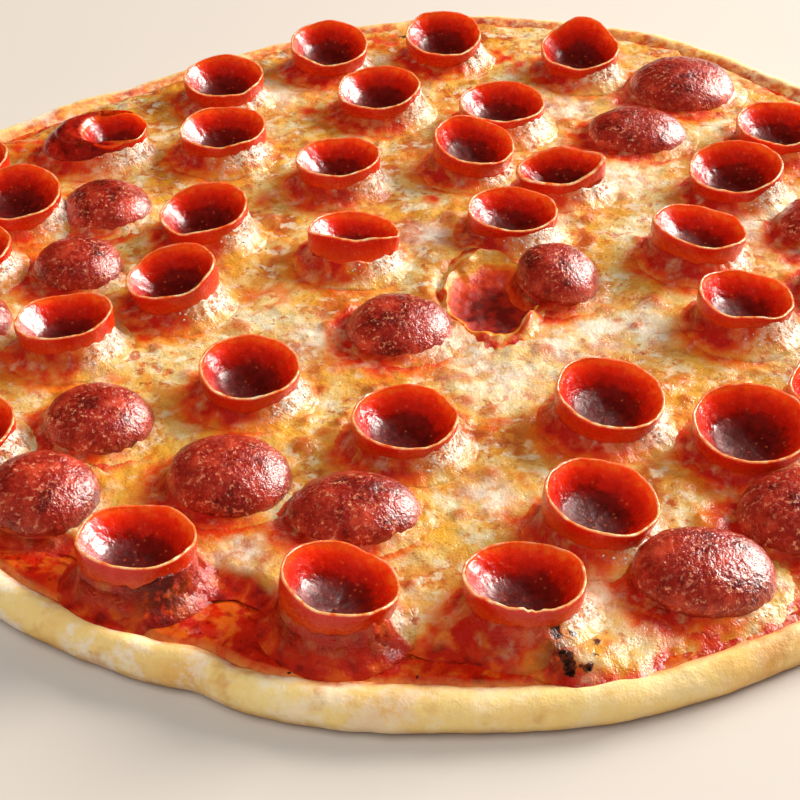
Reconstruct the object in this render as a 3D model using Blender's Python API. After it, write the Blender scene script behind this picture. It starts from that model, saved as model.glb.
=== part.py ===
"""A whole thin-crust pepperoni pizza, 14 inches across, lying flat.

The dough disc with its raised rim carries the sauce, the sauce carries the cheese, and the slices of
pepperoni sit in pockets in the cheese: most have curled up into cups, the rest have domed.
Metres, +Z up. The object stands on the flat underside of its crust, at z = 0, and the origin is
at the middle of its outline. Sizes below are in millimetres and are turned into metres at the end.
"""

import bpy
import bmesh
import random
from math import atan2, ceil, cos, exp, hypot, pi, radians, sin, sqrt
from mathutils import Euler, Matrix, Vector, noise
from mathutils.geometry import delaunay_2d_cdt

MM = 0.001

# Driving sizes in millimetres.
PIZZA_RADIUS = 178.0
SPOKES = 96             # points round the outline of the crust, the sauce and the cheese
CRUST_FLOOR = 4.5       # thickness of the dough under the sauce
GAP = 0.3               # between one layer and the next
SAUCE_TOP = 6.3         # of the sauce under the cheese
SAUCE_BAND_TOP = 7.4    # of the sauce that shows outside the cheese
CHEESE_TOP = 9.9        # of the cheese, on average
CHEESE_EDGE_TOP = 8.5   # of the cheese at its outer edge
CHEESE_INSET = 13.9     # from the crust's outline to the cheese
BARE_SAUCE = (-112, 20, 13)  # direction in degrees, half width, and how much further in the cheese ends
CHEESE_MARGIN = 1.6     # of cheese outside the pocket of a slice near the edge
SEAT = 7.5              # the lowest corner of every slice of pepperoni
SLICE_SIDES = 12
CUP_HEIGHT = 10.6
CUP_WALL = 1.3
RELIEF_STEP = 9.5       # between the points that carry the cheese's relief

# How far the outline leaves a circle: (waves round the outline, cosine share, sine share).
OUTLINE_WAVES = ((2, 0.025, 0.024), (3, -0.034, -0.010), (4, 0.024, -0.009))
# Dips in the outline: (direction and half width in degrees, depth in millimetres).
OUTLINE_DIPS = ((-108, 2.2, 2.2), (183, 24, 3.6))

# The crust's rim from its underside up and over: (distance in from the outline, height).
RIM_OUTSIDE = ((5.0, 0.0), (1.5, 1.1), (0.0, 3.9), (0.8, 6.8), (3.2, 8.7))
RIM_INSIDE = ((6.0, 9.1), (9.2, 7.6), (11.2, 5.8), (12.8, CRUST_FLOOR))
# Where the rim is narrower: (direction and half width in degrees, share of its width that it loses).
NARROW_RIM = ((-64, 16, 0.22), (-121, 13, 0.22))

# Cups, as (x, y, width, lean towards -Y in degrees, lean towards +X in degrees). x and y are the middle
# of the rim. The first groups run from the far edge to the near one, and the last two are the sides.
CUPS = (
    (7, 141, 26.5, 11, 0), (-33, 134, 27, 10, 2), (54, 130, 27, 9, 0),
    (-68, 110, 27, 5, 0), (-15.5, 101, 28, 4, -4), (25, 90.5, 28, 3, 0),
    (-65.5, 73, 28, 1, -3), (114, 75, 28, 2, 0), (15, 61, 25.5, 9, 10),
    (-28, 52.5, 26.5, -2, -4), (95, 45, 28.5, 4, -6), (-125, 31, 28, 6, 0),
    (-67, 20, 26.5, 4, -7), (25, 21, 27, -1, 0), (79, 9, 28, -4, 7),
    (-22, 7.5, 27, -3, 4), (-134.5, 1.5, 27, 0, 0), (-73, -16, 26, 4, -13),
    (-100, -37, 27, -6, -5), (87, -27.5, 26.5, -2, 7), (-48, -61, 26.5, 5, 2),
    (45, -74, 28, 6, 7), (105, -70, 27, 2, 0), (-119, -84, 27, 0, 0),
    (-7.5, -82.5, 27, 0, 2), (79, -86, 29.5, 6, 0), (39, -116, 28, 2, 10),
    (-69.5, -129.5, 28, -8, 2), (-22, -145, 27.5, -5, 10), (19, -143, 28, -9, -2),
    (-144, 52, 27, 3, -4), (-158.5, -19, 27, 2, 5), (-143, -53, 27, -3, 3),
    (142, 49, 28, 5, -5), (150, 11, 27, -2, -6), (124, -44, 28, 4, 4),
    (132, -72.5, 24, -4, -6),
)
# Two slices that folded as they curled: (x, y, width, depth, leans, width and shift of the opening).
FOLDED = (
    (41, 46.5, 28, 19, 4, -8, 0.86, 0.5),
    (-107, 71, 35, 27, 2, -3, 0.50, 6.5),
)
# Domed slices, as (x, y, width, depth, height, lean towards -Y, lean towards +X). x and y are the middle.
DOMES = (
    (88, 115, 36, 33, 10.6, 3, 0), (69, 82, 33, 26, 9.4, 3, 2), (-98, 34.5, 27.5, 27, 10.2, 0, 0),
    (118, 22, 27, 26, 9.6, 0, 4), (-102, 0, 26, 24, 9.8, 4, 3), (-9, -32, 30, 28, 10.8, 0, 0),
    (36, -8, 24, 26, 10.8, 0, 11), (-86, -75, 28, 26, 10.4, 3, 4), (-51, -98.5, 31, 28, 10.4, 4, 3),
    (-20, -110.5, 32, 25, 9.4, 3, 0), (88, -113, 32, 30, 10.6, 0, -4), (-96, -105, 28, 28, 10.4, 4, 5),
    (61, -134.5, 34, 27, 10.6, 4, 4), (-158.5, 17, 26, 27, 9.8, 2, -3), (-130, -28.5, 27, 27, 9.6, 0, 3),
    (121, -12, 30, 28, 10.0, 2, 2), (148, -26.5, 25, 26, 9.6, -2, 4),
)
# Lips that aren't level: {cup: (direction in degrees, half width in degrees, height added)}.
LIPS = {3: (80, 24, 4.5), 16: (-92, 40, -3.6), 30: (-60, 40, -1.6), 29: (165, 50, 1.4), 20: (-130, 30, -1.2)}

# Raised spots, as (x, y, radius, height).
CHEESE_MOUNDS = (
    (32, -158, 12, 5.0), (-93, -127, 9, 2.4), (-118, -6, 8, 2.2), (58, 57, 12, 2.6),
    (2, 8, 9, 2.0), (101, 22, 10, 1.6), (-45, -24, 14, 1.2), (8, -58, 13, 1.4), (-100, 93, 10, 2.0),
    (36, 112, 11, 1.6), (-48, 62, 12, 1.2), (60, -98, 10, 1.4), (-40, -130, 10, 1.2),
)
SAUCE_MOUNDS = ((-69, -143, 13, 2.6),)
# A burst bubble in the cheese, with the sauce showing: middle, half width, half depth, height of its lip.
CRATER = (11, -11, 10.5, 16, 2.6)


def material(name, colour, roughness):
    """A plain finish for one kind of piece."""
    made = bpy.data.materials.new(name)
    made.use_nodes = True
    shader = made.node_tree.nodes["Principled BSDF"]
    shader.inputs["Base Color"].default_value = (*colour, 1.0)
    shader.inputs["Roughness"].default_value = roughness
    shader.inputs["Metallic"].default_value = 0.0
    return made


def bell(distance, half_width):
    return exp(-(distance / half_width) ** 2)


def turn_between(angle, direction):
    """Degrees from one direction to the other, the short way round."""
    return abs((angle * 180 / pi - direction + 180) % 360 - 180)


def wobble(angle, waves, seed):
    """A smooth irregular value from about -1 to 1 that closes round the pizza."""
    return 2 * noise.noise(Vector((waves * cos(angle), waves * sin(angle), seed)))


def outline_radius(angle):
    share = 1 + sum(a * cos(n * angle) + b * sin(n * angle) for n, a, b in OUTLINE_WAVES)
    dips = sum(depth * bell(turn_between(angle, direction), spread) for direction, spread, depth in OUTLINE_DIPS)
    return PIZZA_RADIUS * share + wobble(angle, 3.5, 1.7) - dips


def rim_width(angle):
    """How wide the rim is in a direction, as a share of its usual width."""
    lost = sum(share * bell(turn_between(angle, direction), spread) for direction, spread, share in NARROW_RIM)
    return 1 + 0.05 * wobble(angle, 2.5, 5.3) - lost


def rim_shape(angle, inset, height):
    """A point of the rim's profile, wider and higher in some places than in others."""
    higher = 1 + 0.07 * wobble(angle, 4.0, 9.1)
    raised = height * higher if height > CRUST_FLOOR else height
    return outline_radius(angle) - inset * rim_width(angle), max(raised, CRUST_FLOOR if inset > 6 else 0.0)


def reach_round(angle, x, y, radius):
    """How far out a circle round x and y reaches in a direction, or 0 where it isn't in the way."""
    away, off = hypot(x, y), radians(turn_between(angle, atan2(y, x) * 180 / pi))
    if off > pi / 2 or away * sin(off) >= radius:
        return 0.0
    return away * cos(off) + sqrt(radius ** 2 - (away * sin(off)) ** 2)


def feet():
    """Where the foot of every slice stands and how far it reaches, as (x, y, radius)."""
    for x, y, width, down, aside in CUPS:
        yield x - CUP_HEIGHT * sin(radians(aside)), y + CUP_HEIGHT * sin(radians(down)), 0.465 * width
    for x, y, width, depth, _, _, _ in DOMES:
        yield x, y, 0.5 * max(width, depth)


def cheese_radius(angle):
    """The cheese ends short of the rim, but goes under every slice that stands near the bare sauce."""
    direction, half_width, further = BARE_SAUCE
    most = outline_radius(angle) - CHEESE_INSET * rim_width(angle)
    plain = most - further * bell(turn_between(angle, direction), half_width) - 0.7 * (
        1 + wobble(angle, 9, 3.3))
    under_slices = max(reach_round(angle, x, y, radius + CHEESE_MARGIN) for x, y, radius in feet())
    return min(max(plain, under_slices), most)


def mounds_at(x, y, mounds):
    return sum(height * bell(hypot(x - mx, y - my), 0.62 * radius) for mx, my, radius, height in mounds)


def crater_reach(x, y):
    """0 at the middle of the burst bubble, 1 at its lip, more outside."""
    mx, my, half_width, half_depth, _ = CRATER
    return hypot((x - mx) / half_width, (y - my) / half_depth)


def cheese_height(x, y):
    """The cheese's top, without the pockets."""
    angle, radius = atan2(y, x), hypot(x, y)
    top = CHEESE_TOP + 0.9 * noise.noise(Vector((x / 26, y / 26, 0.4))) + 0.6 * noise.noise(
        Vector((x / 9, y / 9, 7.7)))
    top += mounds_at(x, y, CHEESE_MOUNDS) + CRATER[4] * bell(crater_reach(x, y) - 1.1, 0.3)
    edge_share = min(max((cheese_radius(angle) - radius) / 4.5, 0.0), 1.0)
    return CHEESE_EDGE_TOP + (top - CHEESE_EDGE_TOP) * edge_share


def spoke_angles():
    return [2 * pi * i / SPOKES for i in range(SPOKES)]


def polar_ring(point_at):
    """One ring of points: point_at gives the radius and the height in each direction."""
    ring = []
    for angle in spoke_angles():
        radius, height = point_at(angle)
        ring.append(Vector((radius * cos(angle), radius * sin(angle), height)))
    return ring


def skin(rings):
    """A closed mesh over rings of points, from the lowest ring of the outside to the last ring inside."""
    mesh = bmesh.new()
    rows = [[mesh.verts.new(point * MM) for point in ring] for ring in rings]
    mesh.faces.new(reversed(rows[0]))
    for below, above in zip(rows, rows[1:]):
        for i in range(len(above)):
            j = (i + 1) % len(below)
            if len(above) == 1:
                continue
            mesh.faces.new((below[i], below[j], above[j], above[i]))
    if len(rows[-1]) == 1:
        last = rows[-2]
        for i in range(len(last)):
            mesh.faces.new((last[i], last[(i + 1) % len(last)], rows[-1][0]))
    else:
        mesh.faces.new(rows[-1])
    return mesh


def add_node(name, mesh, finish, middle, matrix=None):
    """An object of the finished mesh, hung on the empty at the pizza's middle."""
    data = bpy.data.meshes.new(name)
    mesh.to_mesh(data)
    mesh.free()
    data.materials.append(finish)
    data.shade_smooth()
    data.set_sharp_from_angle(angle=radians(40))
    node = bpy.data.objects.new(name, data)
    bpy.context.scene.collection.objects.link(node)
    node.parent = middle
    if matrix:
        node.location = matrix.to_translation() * MM
        node.rotation_euler = matrix.to_euler()
    return node


def build_crust(finish, middle):
    rings = [polar_ring(lambda a, p=p: rim_shape(a, *p)) for p in RIM_OUTSIDE + RIM_INSIDE]
    add_node("crust", skin(rings), finish, middle)


def build_sauce(finish, middle):
    """The sauce fills the dish of the crust and lies a little way up the inside of its rim."""
    def above_rim(inset, lift):
        """A point over the inside of the rim, on the straight line between two points of its profile."""
        def point_at(angle):
            for (inset_a, height_a), (inset_b, height_b) in zip(RIM_INSIDE, RIM_INSIDE[1:]):
                if inset_a <= inset <= inset_b:
                    share = (inset - inset_a) / (inset_b - inset_a)
                    radius_a, z_a = rim_shape(angle, inset_a, height_a)
                    radius_b, z_b = rim_shape(angle, inset_b, height_b)
                    return radius_a + share * (radius_b - radius_a), z_a + share * (z_b - z_a) + lift
            return rim_shape(angle, inset, CRUST_FLOOR)[0], CRUST_FLOOR + lift
        return point_at

    def band(outside_cheese, top):
        def point_at(angle):
            radius = cheese_radius(angle) + outside_cheese
            x, y = radius * cos(angle), radius * sin(angle)
            return radius, top + (mounds_at(x, y, SAUCE_MOUNDS) if top > SAUCE_TOP else 0.0)
        return point_at

    def band_edge(angle):
        radius, _ = rim_shape(angle, 11.3, CRUST_FLOOR)
        x, y = radius * cos(angle), radius * sin(angle)
        return radius, SAUCE_BAND_TOP + 0.3 + mounds_at(x, y, SAUCE_MOUNDS)

    lift = 0.52
    rings = [above_rim(13.4, GAP), above_rim(12.7, lift), above_rim(11.2, lift), above_rim(9.5, lift),
             above_rim(9.9, lift + 0.7), band_edge, band(1.0, SAUCE_BAND_TOP), band(0.5, SAUCE_TOP)]
    add_node("sauce", skin([polar_ring(ring) for ring in rings]), finish, middle)


class Slice:
    """One slice of pepperoni: its rings of points in its own frame, and where it lies."""

    def __init__(self, name, rings, place, leans, seat_at_base):
        self.name, self.rings = name, rings
        turned = Euler((radians(leans[0]), radians(leans[1]), 0.0)).to_matrix().to_4x4()
        reach = Vector((0, 0, 0)) if seat_at_base else turned @ Vector((0, 0, CUP_HEIGHT))
        lowest = min((turned @ point).z for point in rings[0])
        self.matrix = Matrix.Translation((place[0] - reach.x, place[1] - reach.y, SEAT - lowest)) @ turned

    def pocket(self):
        """The two rings of points that the cheese has round this slice's foot, floor first."""
        foot = [self.matrix @ point for point in self.rings[0]]
        belly = [self.matrix @ point for point in self.rings[1]]
        middle = sum(foot, Vector()) / len(foot)
        floor, lip = [], []
        for low, high in zip(foot, belly):
            out = Vector((low.x - middle.x, low.y - middle.y, 0)).normalized() * (GAP + 0.2)
            top = min(cheese_height(high.x, high.y), high.z)
            share = min(max((top - low.z) / (high.z - low.z), 0.0), 1.0)
            at_top = low + (high - low) * share
            clear = 1.0 if share > 0.25 else 2.2
            floor.append(Vector((low.x + out.x, low.y + out.y, min(low.z - GAP - 0.05, top))))
            lip.append(Vector((at_top.x, at_top.y, top)) + out * clear + out.normalized() * 0.12)
        return floor, lip


def slice_ring(half_width, half_depth, height, shift=0.0, raise_at=None):
    """One ring of a slice. Its corners stand a little proud, so that its flats lie on the true size."""
    proud = 2 / (1 + cos(pi / SLICE_SIDES))
    ring = []
    for i in range(SLICE_SIDES):
        angle = 2 * pi * i / SLICE_SIDES
        lift = raise_at(angle) if raise_at else 0.0
        ring.append(Vector((shift + proud * half_width * cos(angle), proud * half_depth * sin(angle),
                            height + lift)))
    return ring


def cup_slice(name, place, width, depth, leans, lip, opening=None):
    """A slice curled up into a cup. An opening (share of the width, shift) narrows the hollow."""
    chance = random.Random(name)
    half_width, half_depth = width / 2, depth / 2
    uneven = [chance.uniform(-0.55, 0.55) for _ in range(SLICE_SIDES)]

    def lip_height(angle):
        index = round(angle * SLICE_SIDES / (2 * pi)) % SLICE_SIDES
        level = uneven[index]
        if lip:
            direction, reach, height = lip
            level += height * bell(turn_between(angle, direction), reach)
        return level

    share, shift = opening or (1.0, 0.0)
    inner_width, inner_depth = (half_width - CUP_WALL) * share, (half_depth - CUP_WALL) * sqrt(share)
    rings = [
        slice_ring(0.70 * half_width, 0.70 * half_depth, 0.0),
        slice_ring(0.93 * half_width, 0.93 * half_depth, 0.29 * CUP_HEIGHT),
        slice_ring(half_width, half_depth, CUP_HEIGHT, 0.0, lip_height),
        slice_ring(inner_width, inner_depth, CUP_HEIGHT, shift, lip_height),
        slice_ring(0.66 * inner_width, 0.66 * inner_depth, 0.22 * CUP_HEIGHT, shift),
    ]
    return Slice(name, rings, place, leans, False)


def dome_slice(name, place, width, depth, height, leans):
    """A slice that domed upwards."""
    profile = ((0.92, 0.0), (1.0, 0.26), (0.83, 0.68), (0.47, 0.94))
    rings = [slice_ring(width / 2 * share, depth / 2 * share, height * level) for share, level in profile]
    rings.append([Vector((0, 0, height))])
    return Slice(name, rings, place, leans, True)


def all_slices():
    slices = []
    for i, (x, y, width, down, aside) in enumerate(CUPS, 1):
        slices.append(cup_slice(f"pepperoni_cup_{i:02d}", (x, y), width, width, (down, aside), LIPS.get(i)))
    for i, (x, y, width, depth, down, aside, share, shift) in enumerate(FOLDED, 1):
        slices.append(cup_slice(f"pepperoni_folded_{i:02d}", (x, y), width, depth, (down, aside), None,
                                (share, shift)))
    for i, (x, y, width, depth, height, down, aside) in enumerate(DOMES, 1):
        slices.append(dome_slice(f"pepperoni_dome_{i:02d}", (x, y), width, depth, height, (down, aside)))
    return slices


def keep_clear(rings, margin):
    """A test for points that lie further than the margin outside every one of the given rings."""
    circles = []
    for ring in rings:
        centre = sum(ring, Vector()) / len(ring)
        circles.append((centre, max((p - centre).xy.length for p in ring) + margin))
    return lambda x, y: all(hypot(x - centre.x, y - centre.y) > reach for centre, reach in circles)


def relief_points(is_clear):
    """A shaken triangular lattice of points over the cheese, clear of its edge and of the pockets."""
    chance = random.Random(14)
    reach = 1.1 * PIZZA_RADIUS
    rows = ceil(reach / (RELIEF_STEP * sqrt(3) / 2))
    columns = ceil(reach / RELIEF_STEP)
    found = []
    for row in range(-rows, rows + 1):
        for column in range(-columns, columns + 1):
            x = (column + 0.5 * (row % 2)) * RELIEF_STEP + chance.uniform(-1.6, 1.6)
            y = row * RELIEF_STEP * sqrt(3) / 2 + chance.uniform(-1.6, 1.6)
            if hypot(x, y) < cheese_radius(atan2(y, x)) - 8.5 and is_clear(x, y):
                found.append(Vector((x, y, cheese_height(x, y))))
    return found


def build_cheese(slices, finish, middle):
    """One sheet: a flat underside, an edge, and a top with relief, pockets and the burst bubble."""
    def ring_at(inset):
        return polar_ring(lambda a: (cheese_radius(a) - inset, 0.0))

    def on_top(ring):
        return [Vector((p.x, p.y, cheese_height(p.x, p.y))) for p in ring]

    def crater_ring(reach, height):
        mx, my, half_width, half_depth, _ = CRATER
        ring = [Vector((mx + reach * half_width * cos(2 * pi * i / 14),
                        my + reach * half_depth * sin(2 * pi * i / 14), 0)) for i in range(14)]
        return [Vector((p.x, p.y, height or cheese_height(p.x, p.y))) for p in ring]

    outline = on_top(ring_at(0.0))
    closed_rings = [outline, crater_ring(1.0, None), crater_ring(0.78, SAUCE_TOP + GAP + 0.9)]
    for piece in slices:
        closed_rings.extend(piece.pocket())
    near = keep_clear(closed_rings[1:], 1.2)
    shoulder = [p for p in on_top(ring_at(4.5))[::2] if near(p.x, p.y)]
    loose = shoulder + relief_points(keep_clear(closed_rings[1:], 2.2))
    points, edges = [], []
    for ring in closed_rings:
        start = len(points)
        points.extend(ring)
        edges.extend((start + i, start + (i + 1) % len(ring)) for i in range(len(ring)))
    points.extend(loose)
    flat, _, faces, origins, _, _ = delaunay_2d_cdt([p.xy for p in points], edges, [], 1, 1e-5)
    mesh = bmesh.new()
    top = []
    for place, source in zip(flat, origins):
        height = min(points[i].z for i in source) if source else cheese_height(place.x, place.y)
        top.append(mesh.verts.new(Vector((place.x, place.y, height)) * MM))
    for face in faces:
        mesh.faces.new([top[i] for i in face])
    rim = {i: k for k, source in enumerate(origins) for i in source if i < SPOKES}
    upper = [top[rim[i]] for i in range(SPOKES)]
    lower = [mesh.verts.new(Vector((p.x, p.y, SAUCE_TOP + GAP)) * MM) for p in outline]
    for i in range(SPOKES):
        j = (i + 1) % SPOKES
        mesh.faces.new((lower[i], lower[j], upper[j], upper[i]))
    mesh.faces.new(reversed(lower))
    mesh.normal_update()
    add_node("cheese", mesh, finish, middle)


def main():
    for obj in list(bpy.data.objects):
        bpy.data.objects.remove(obj, do_unlink=True)
    rim = polar_ring(lambda a: (outline_radius(a), 0.0))
    xs, ys = [p.x for p in rim], [p.y for p in rim]
    middle = bpy.data.objects.new("middle", None)
    middle.location = Vector((-(min(xs) + max(xs)) / 2, -(min(ys) + max(ys)) / 2, 0)) * MM
    bpy.context.scene.collection.objects.link(middle)

    build_crust(material("baked dough", (0.78, 0.52, 0.24), 0.8), middle)
    build_sauce(material("tomato sauce", (0.42, 0.03, 0.008), 0.3), middle)
    slices = all_slices()
    build_cheese(slices, material("melted cheese", (0.86, 0.62, 0.26), 0.4), middle)
    curled = material("curled pepperoni", (0.38, 0.02, 0.01), 0.28)
    domed = material("domed pepperoni", (0.26, 0.02, 0.012), 0.4)
    for piece in slices:
        finish = domed if "dome" in piece.name else curled
        add_node(piece.name, skin(piece.rings), finish, middle, piece.matrix)


main()
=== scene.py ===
from itertools import product
from math import cos, pi, radians, sin

import bpy
import numpy as np
from mathutils import Matrix, Vector
from mathutils.bvhtree import BVHTree


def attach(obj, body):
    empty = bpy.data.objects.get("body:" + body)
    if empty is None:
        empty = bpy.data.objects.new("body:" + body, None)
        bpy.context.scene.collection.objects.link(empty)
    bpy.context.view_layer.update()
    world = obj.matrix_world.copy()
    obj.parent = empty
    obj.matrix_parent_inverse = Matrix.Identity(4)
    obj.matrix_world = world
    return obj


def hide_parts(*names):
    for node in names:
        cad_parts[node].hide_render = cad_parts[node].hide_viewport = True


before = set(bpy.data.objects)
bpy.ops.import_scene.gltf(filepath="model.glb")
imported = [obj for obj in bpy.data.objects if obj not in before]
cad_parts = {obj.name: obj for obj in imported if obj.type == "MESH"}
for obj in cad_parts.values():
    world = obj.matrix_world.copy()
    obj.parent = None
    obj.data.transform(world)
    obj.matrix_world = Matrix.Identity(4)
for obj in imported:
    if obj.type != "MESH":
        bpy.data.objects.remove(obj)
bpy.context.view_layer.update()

# A whole thin-crust pepperoni pizza. Lengths are in millimetres, and become metres as a mesh is made.
mm = 0.001
spokeCount = 96                                 # of the crust's, the sauce's and the cheese's outlines
roundCount = 1152                               # places round the finished crust and sauce
rayStart = 60                                   # a height above everything, from where rays are cast down
fullTurn = 6.283
pizzaCentre = np.array((3.288, -2.928, 0.0))    # where the spokes meet
cupNames = sorted(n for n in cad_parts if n.startswith(("pepperoni_cup", "pepperoni_folded")))
domeNames = sorted(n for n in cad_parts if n.startswith("pepperoni_dome"))


# Camera, light and floor

cameraSetup = {
    "place": (-5.4, -448.1, 288.1), "lookDown": 36.136, "roll": -0.176, "lens": 81.0, "sensor": 36.0,
}
studio = {
    "skyTone": (240, 238, 240), "skyStrength": 0.20,
    # place, size, power and tone
    "key": ((1800, 1116, 960), (1350, 1200), 122.0, (255, 248, 240)),
    "fill": ((-300, -700, 1300), (1500, 1500), 14.5, (255, 255, 255)),
    "floorTone": (206, 197, 186), "floorSide": 6000,
    "viewTransform": "Standard",                # the reds stay as deep as they are
}


def tone(red, green, blue):
    # a colour as it shows on screen, 0 to 255, as the shader wants it
    shares = [c / 255 for c in (red, green, blue)]
    return (*[c / 12.92 if c < 0.04045 else ((c + 0.055) / 1.055) ** 2.4 for c in shares], 1.0)


def addToScene(obj):
    bpy.context.scene.collection.objects.link(obj)
    return obj


def makeCamera():
    data = bpy.data.cameras.new("camera")
    data.lens = cameraSetup["lens"]
    data.sensor_width = cameraSetup["sensor"]
    data.clip_start = 0.02
    camera = addToScene(bpy.data.objects.new("camera", data))
    turn = Matrix.Rotation(radians(90 - cameraSetup["lookDown"]), 4, "X")
    turn = turn @ Matrix.Rotation(radians(cameraSetup["roll"]), 4, "Z")
    camera.matrix_world = Matrix.Translation(Vector(cameraSetup["place"]) * mm) @ turn
    bpy.context.scene.camera = camera


def makeAreaLight(name, place, size, power, colour):
    data = bpy.data.lights.new(name, "AREA")
    data.shape = "RECTANGLE"
    data.size, data.size_y = (s * mm for s in size)
    data.energy = power
    data.color = tone(*colour)[:3]
    light = addToScene(bpy.data.objects.new(name, data))
    light.location = Vector(place) * mm
    light.rotation_euler = (-light.location).to_track_quat("-Z", "Y").to_euler()
    light.visible_camera = False
    return light


def makeStudio():
    world = bpy.data.worlds.new("studio")
    world.use_nodes = True
    sky = world.node_tree.nodes["Background"]
    sky.inputs["Color"].default_value = tone(*studio["skyTone"])
    sky.inputs["Strength"].default_value = studio["skyStrength"]
    bpy.context.scene.world = world
    bpy.context.scene.view_settings.view_transform = studio["viewTransform"]
    makeAreaLight("windowLight", *studio["key"])
    fill = makeAreaLight("fillLight", *studio["fill"])
    fill.visible_glossy = False                 # it softens shadows, and isn't mirrored in the glossy meat
    world.cycles_visibility.glossy = False
    half = studio["floorSide"] / 2
    corners = np.array([(-half, -half, 0), (half, -half, 0), (half, half, 0), (-half, half, 0)])
    floor = makePiece("floor", corners, [(0, 1, 2, 3)], paleFloor())


# Finishes

def connect(tree, source, socket):
    # source is another node's output or a value, and a colour where it is a tuple
    if hasattr(source, "links"):
        tree.links.new(source, socket)
    else:
        socket.default_value = tone(*source) if isinstance(source, tuple) else source


def node(tree, kind, links=None, **settings):
    made = tree.nodes.new(kind)
    for setting, value in settings.items():
        setattr(made, setting, value)
    for socket, source in (links or {}).items():
        connect(tree, source, made.inputs[socket])
    return made.outputs


def calc(tree, operation, first, second):
    return node(tree, "ShaderNodeMath", {0: first, 1: second}, operation=operation)[0]


class Finish:
    # A material and short calls for its nodes. Patterns are in millimetres, and tint is the colour so far.
    def __init__(self, name, **values):
        self.material = bpy.data.materials.new(name)
        self.material.use_nodes = True
        self.tree = self.material.node_tree
        self.place = self.node("TexCoord")["Object"]
        for socket, value in values.items():
            self.set(socket.replace("_", " "), value)

    def node(self, kind, links=None, **settings):
        return node(self.tree, "ShaderNode" + kind, links, **settings)

    def set(self, socket, source):
        connect(self.tree, source, self.tree.nodes["Principled BSDF"].inputs[socket])

    def mottle(self, size, detail=3.0, rough=0.55, twist=0.0, shift=0.0):
        # soft noise from 0 to 1
        shifted = [shift, shift * 0.7, shift * 1.3]
        moved = self.node("VectorMath", {0: self.place, 1: shifted}, operation="ADD")[0]
        return self.node("TexNoise", {"Vector": moved, "Scale": 1 / (size * mm), "Detail": detail,
                                      "Roughness": rough, "Distortion": twist})["Fac"]

    def cells(self, size):
        # distance to the nearest of a crowd of points, in cells
        return self.node("TexVoronoi", {"Vector": self.place, "Scale": 1 / (size * mm)})["Distance"]

    def mask(self, name):
        return self.node("Attribute", attribute_name=name)["Fac"]

    def height(self):
        return self.node("SeparateXYZ", {0: self.place})["Z"]

    def fit(self, source, low, high, start=0.0, end=1.0):
        # a value from low to high becomes one from start to end
        return self.node("MapRange", {"Value": source, "From Min": low, "From Max": high, "To Min": start,
                                      "To Max": end}, interpolation_type="SMOOTHSTEP")["Result"]

    def spots(self, size, low, high, start=0.0, end=1.0, **pattern):
        # soft noise cut into spots between its low and high
        return self.fit(self.mottle(size, **pattern), low, high, start, end)

    def times(self, first, second):
        return calc(self.tree, "MULTIPLY", first, second)

    def plus(self, first, second):
        return calc(self.tree, "ADD", first, second)

    def less(self, first, second):
        return calc(self.tree, "SUBTRACT", first, second)

    def most(self, first, second):
        return calc(self.tree, "MAXIMUM", first, second)

    def ramp(self, source, *stops):
        colour = self.node("ValToRGB", {"Fac": source})["Color"]
        colour.node.color_ramp.interpolation = "EASE"
        ramp = colour.node.color_ramp.elements
        ramp[0].position, ramp[-1].position = stops[0][0], stops[-1][0]
        ramp[0].color, ramp[-1].color = tone(*stops[0][1]), tone(*stops[-1][1])
        for place, middle in stops[1:-1]:
            ramp.new(place).color = tone(*middle)
        return colour

    def blend(self, share, first, second):
        return self.node("Mix", {"Factor": share, 6: first, 7: second}, data_type="RGBA")[2]

    def paint(self, share, colour):
        # lays a colour over the tint
        self.tint = self.blend(share, self.tint, colour)

    def done(self, roughness, glow=None, bumps=()):
        # glow is how much light enters the surface, how far in millimetres, and the spread of each colour.
        # Each bump is the height of its relief in millimetres and its soft noise.
        self.set("Base Color", self.tint)
        self.set("Roughness", roughness)
        if glow:
            self.set("Subsurface Weight", glow[0])
            self.set("Subsurface Scale", glow[1] * mm)
            self.set("Subsurface Radius", list(glow[2:]))
        relief = {"Strength": 1.0}
        for height, *pattern in bumps:
            relief.update({"Distance": height * mm, "Height": self.mottle(*pattern)})
            relief["Normal"] = self.node("Bump", relief)["Normal"]
        if bumps:
            self.set("Normal", relief["Normal"])
            self.set("Coat Normal", relief["Normal"])
        return self.material


def paleFloor():
    f = Finish("paleFloor")
    f.tint = f.blend(f.mottle(240), studio["floorTone"], tuple(c + 4 for c in studio["floorTone"]))
    return f.done(0.75)


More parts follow.
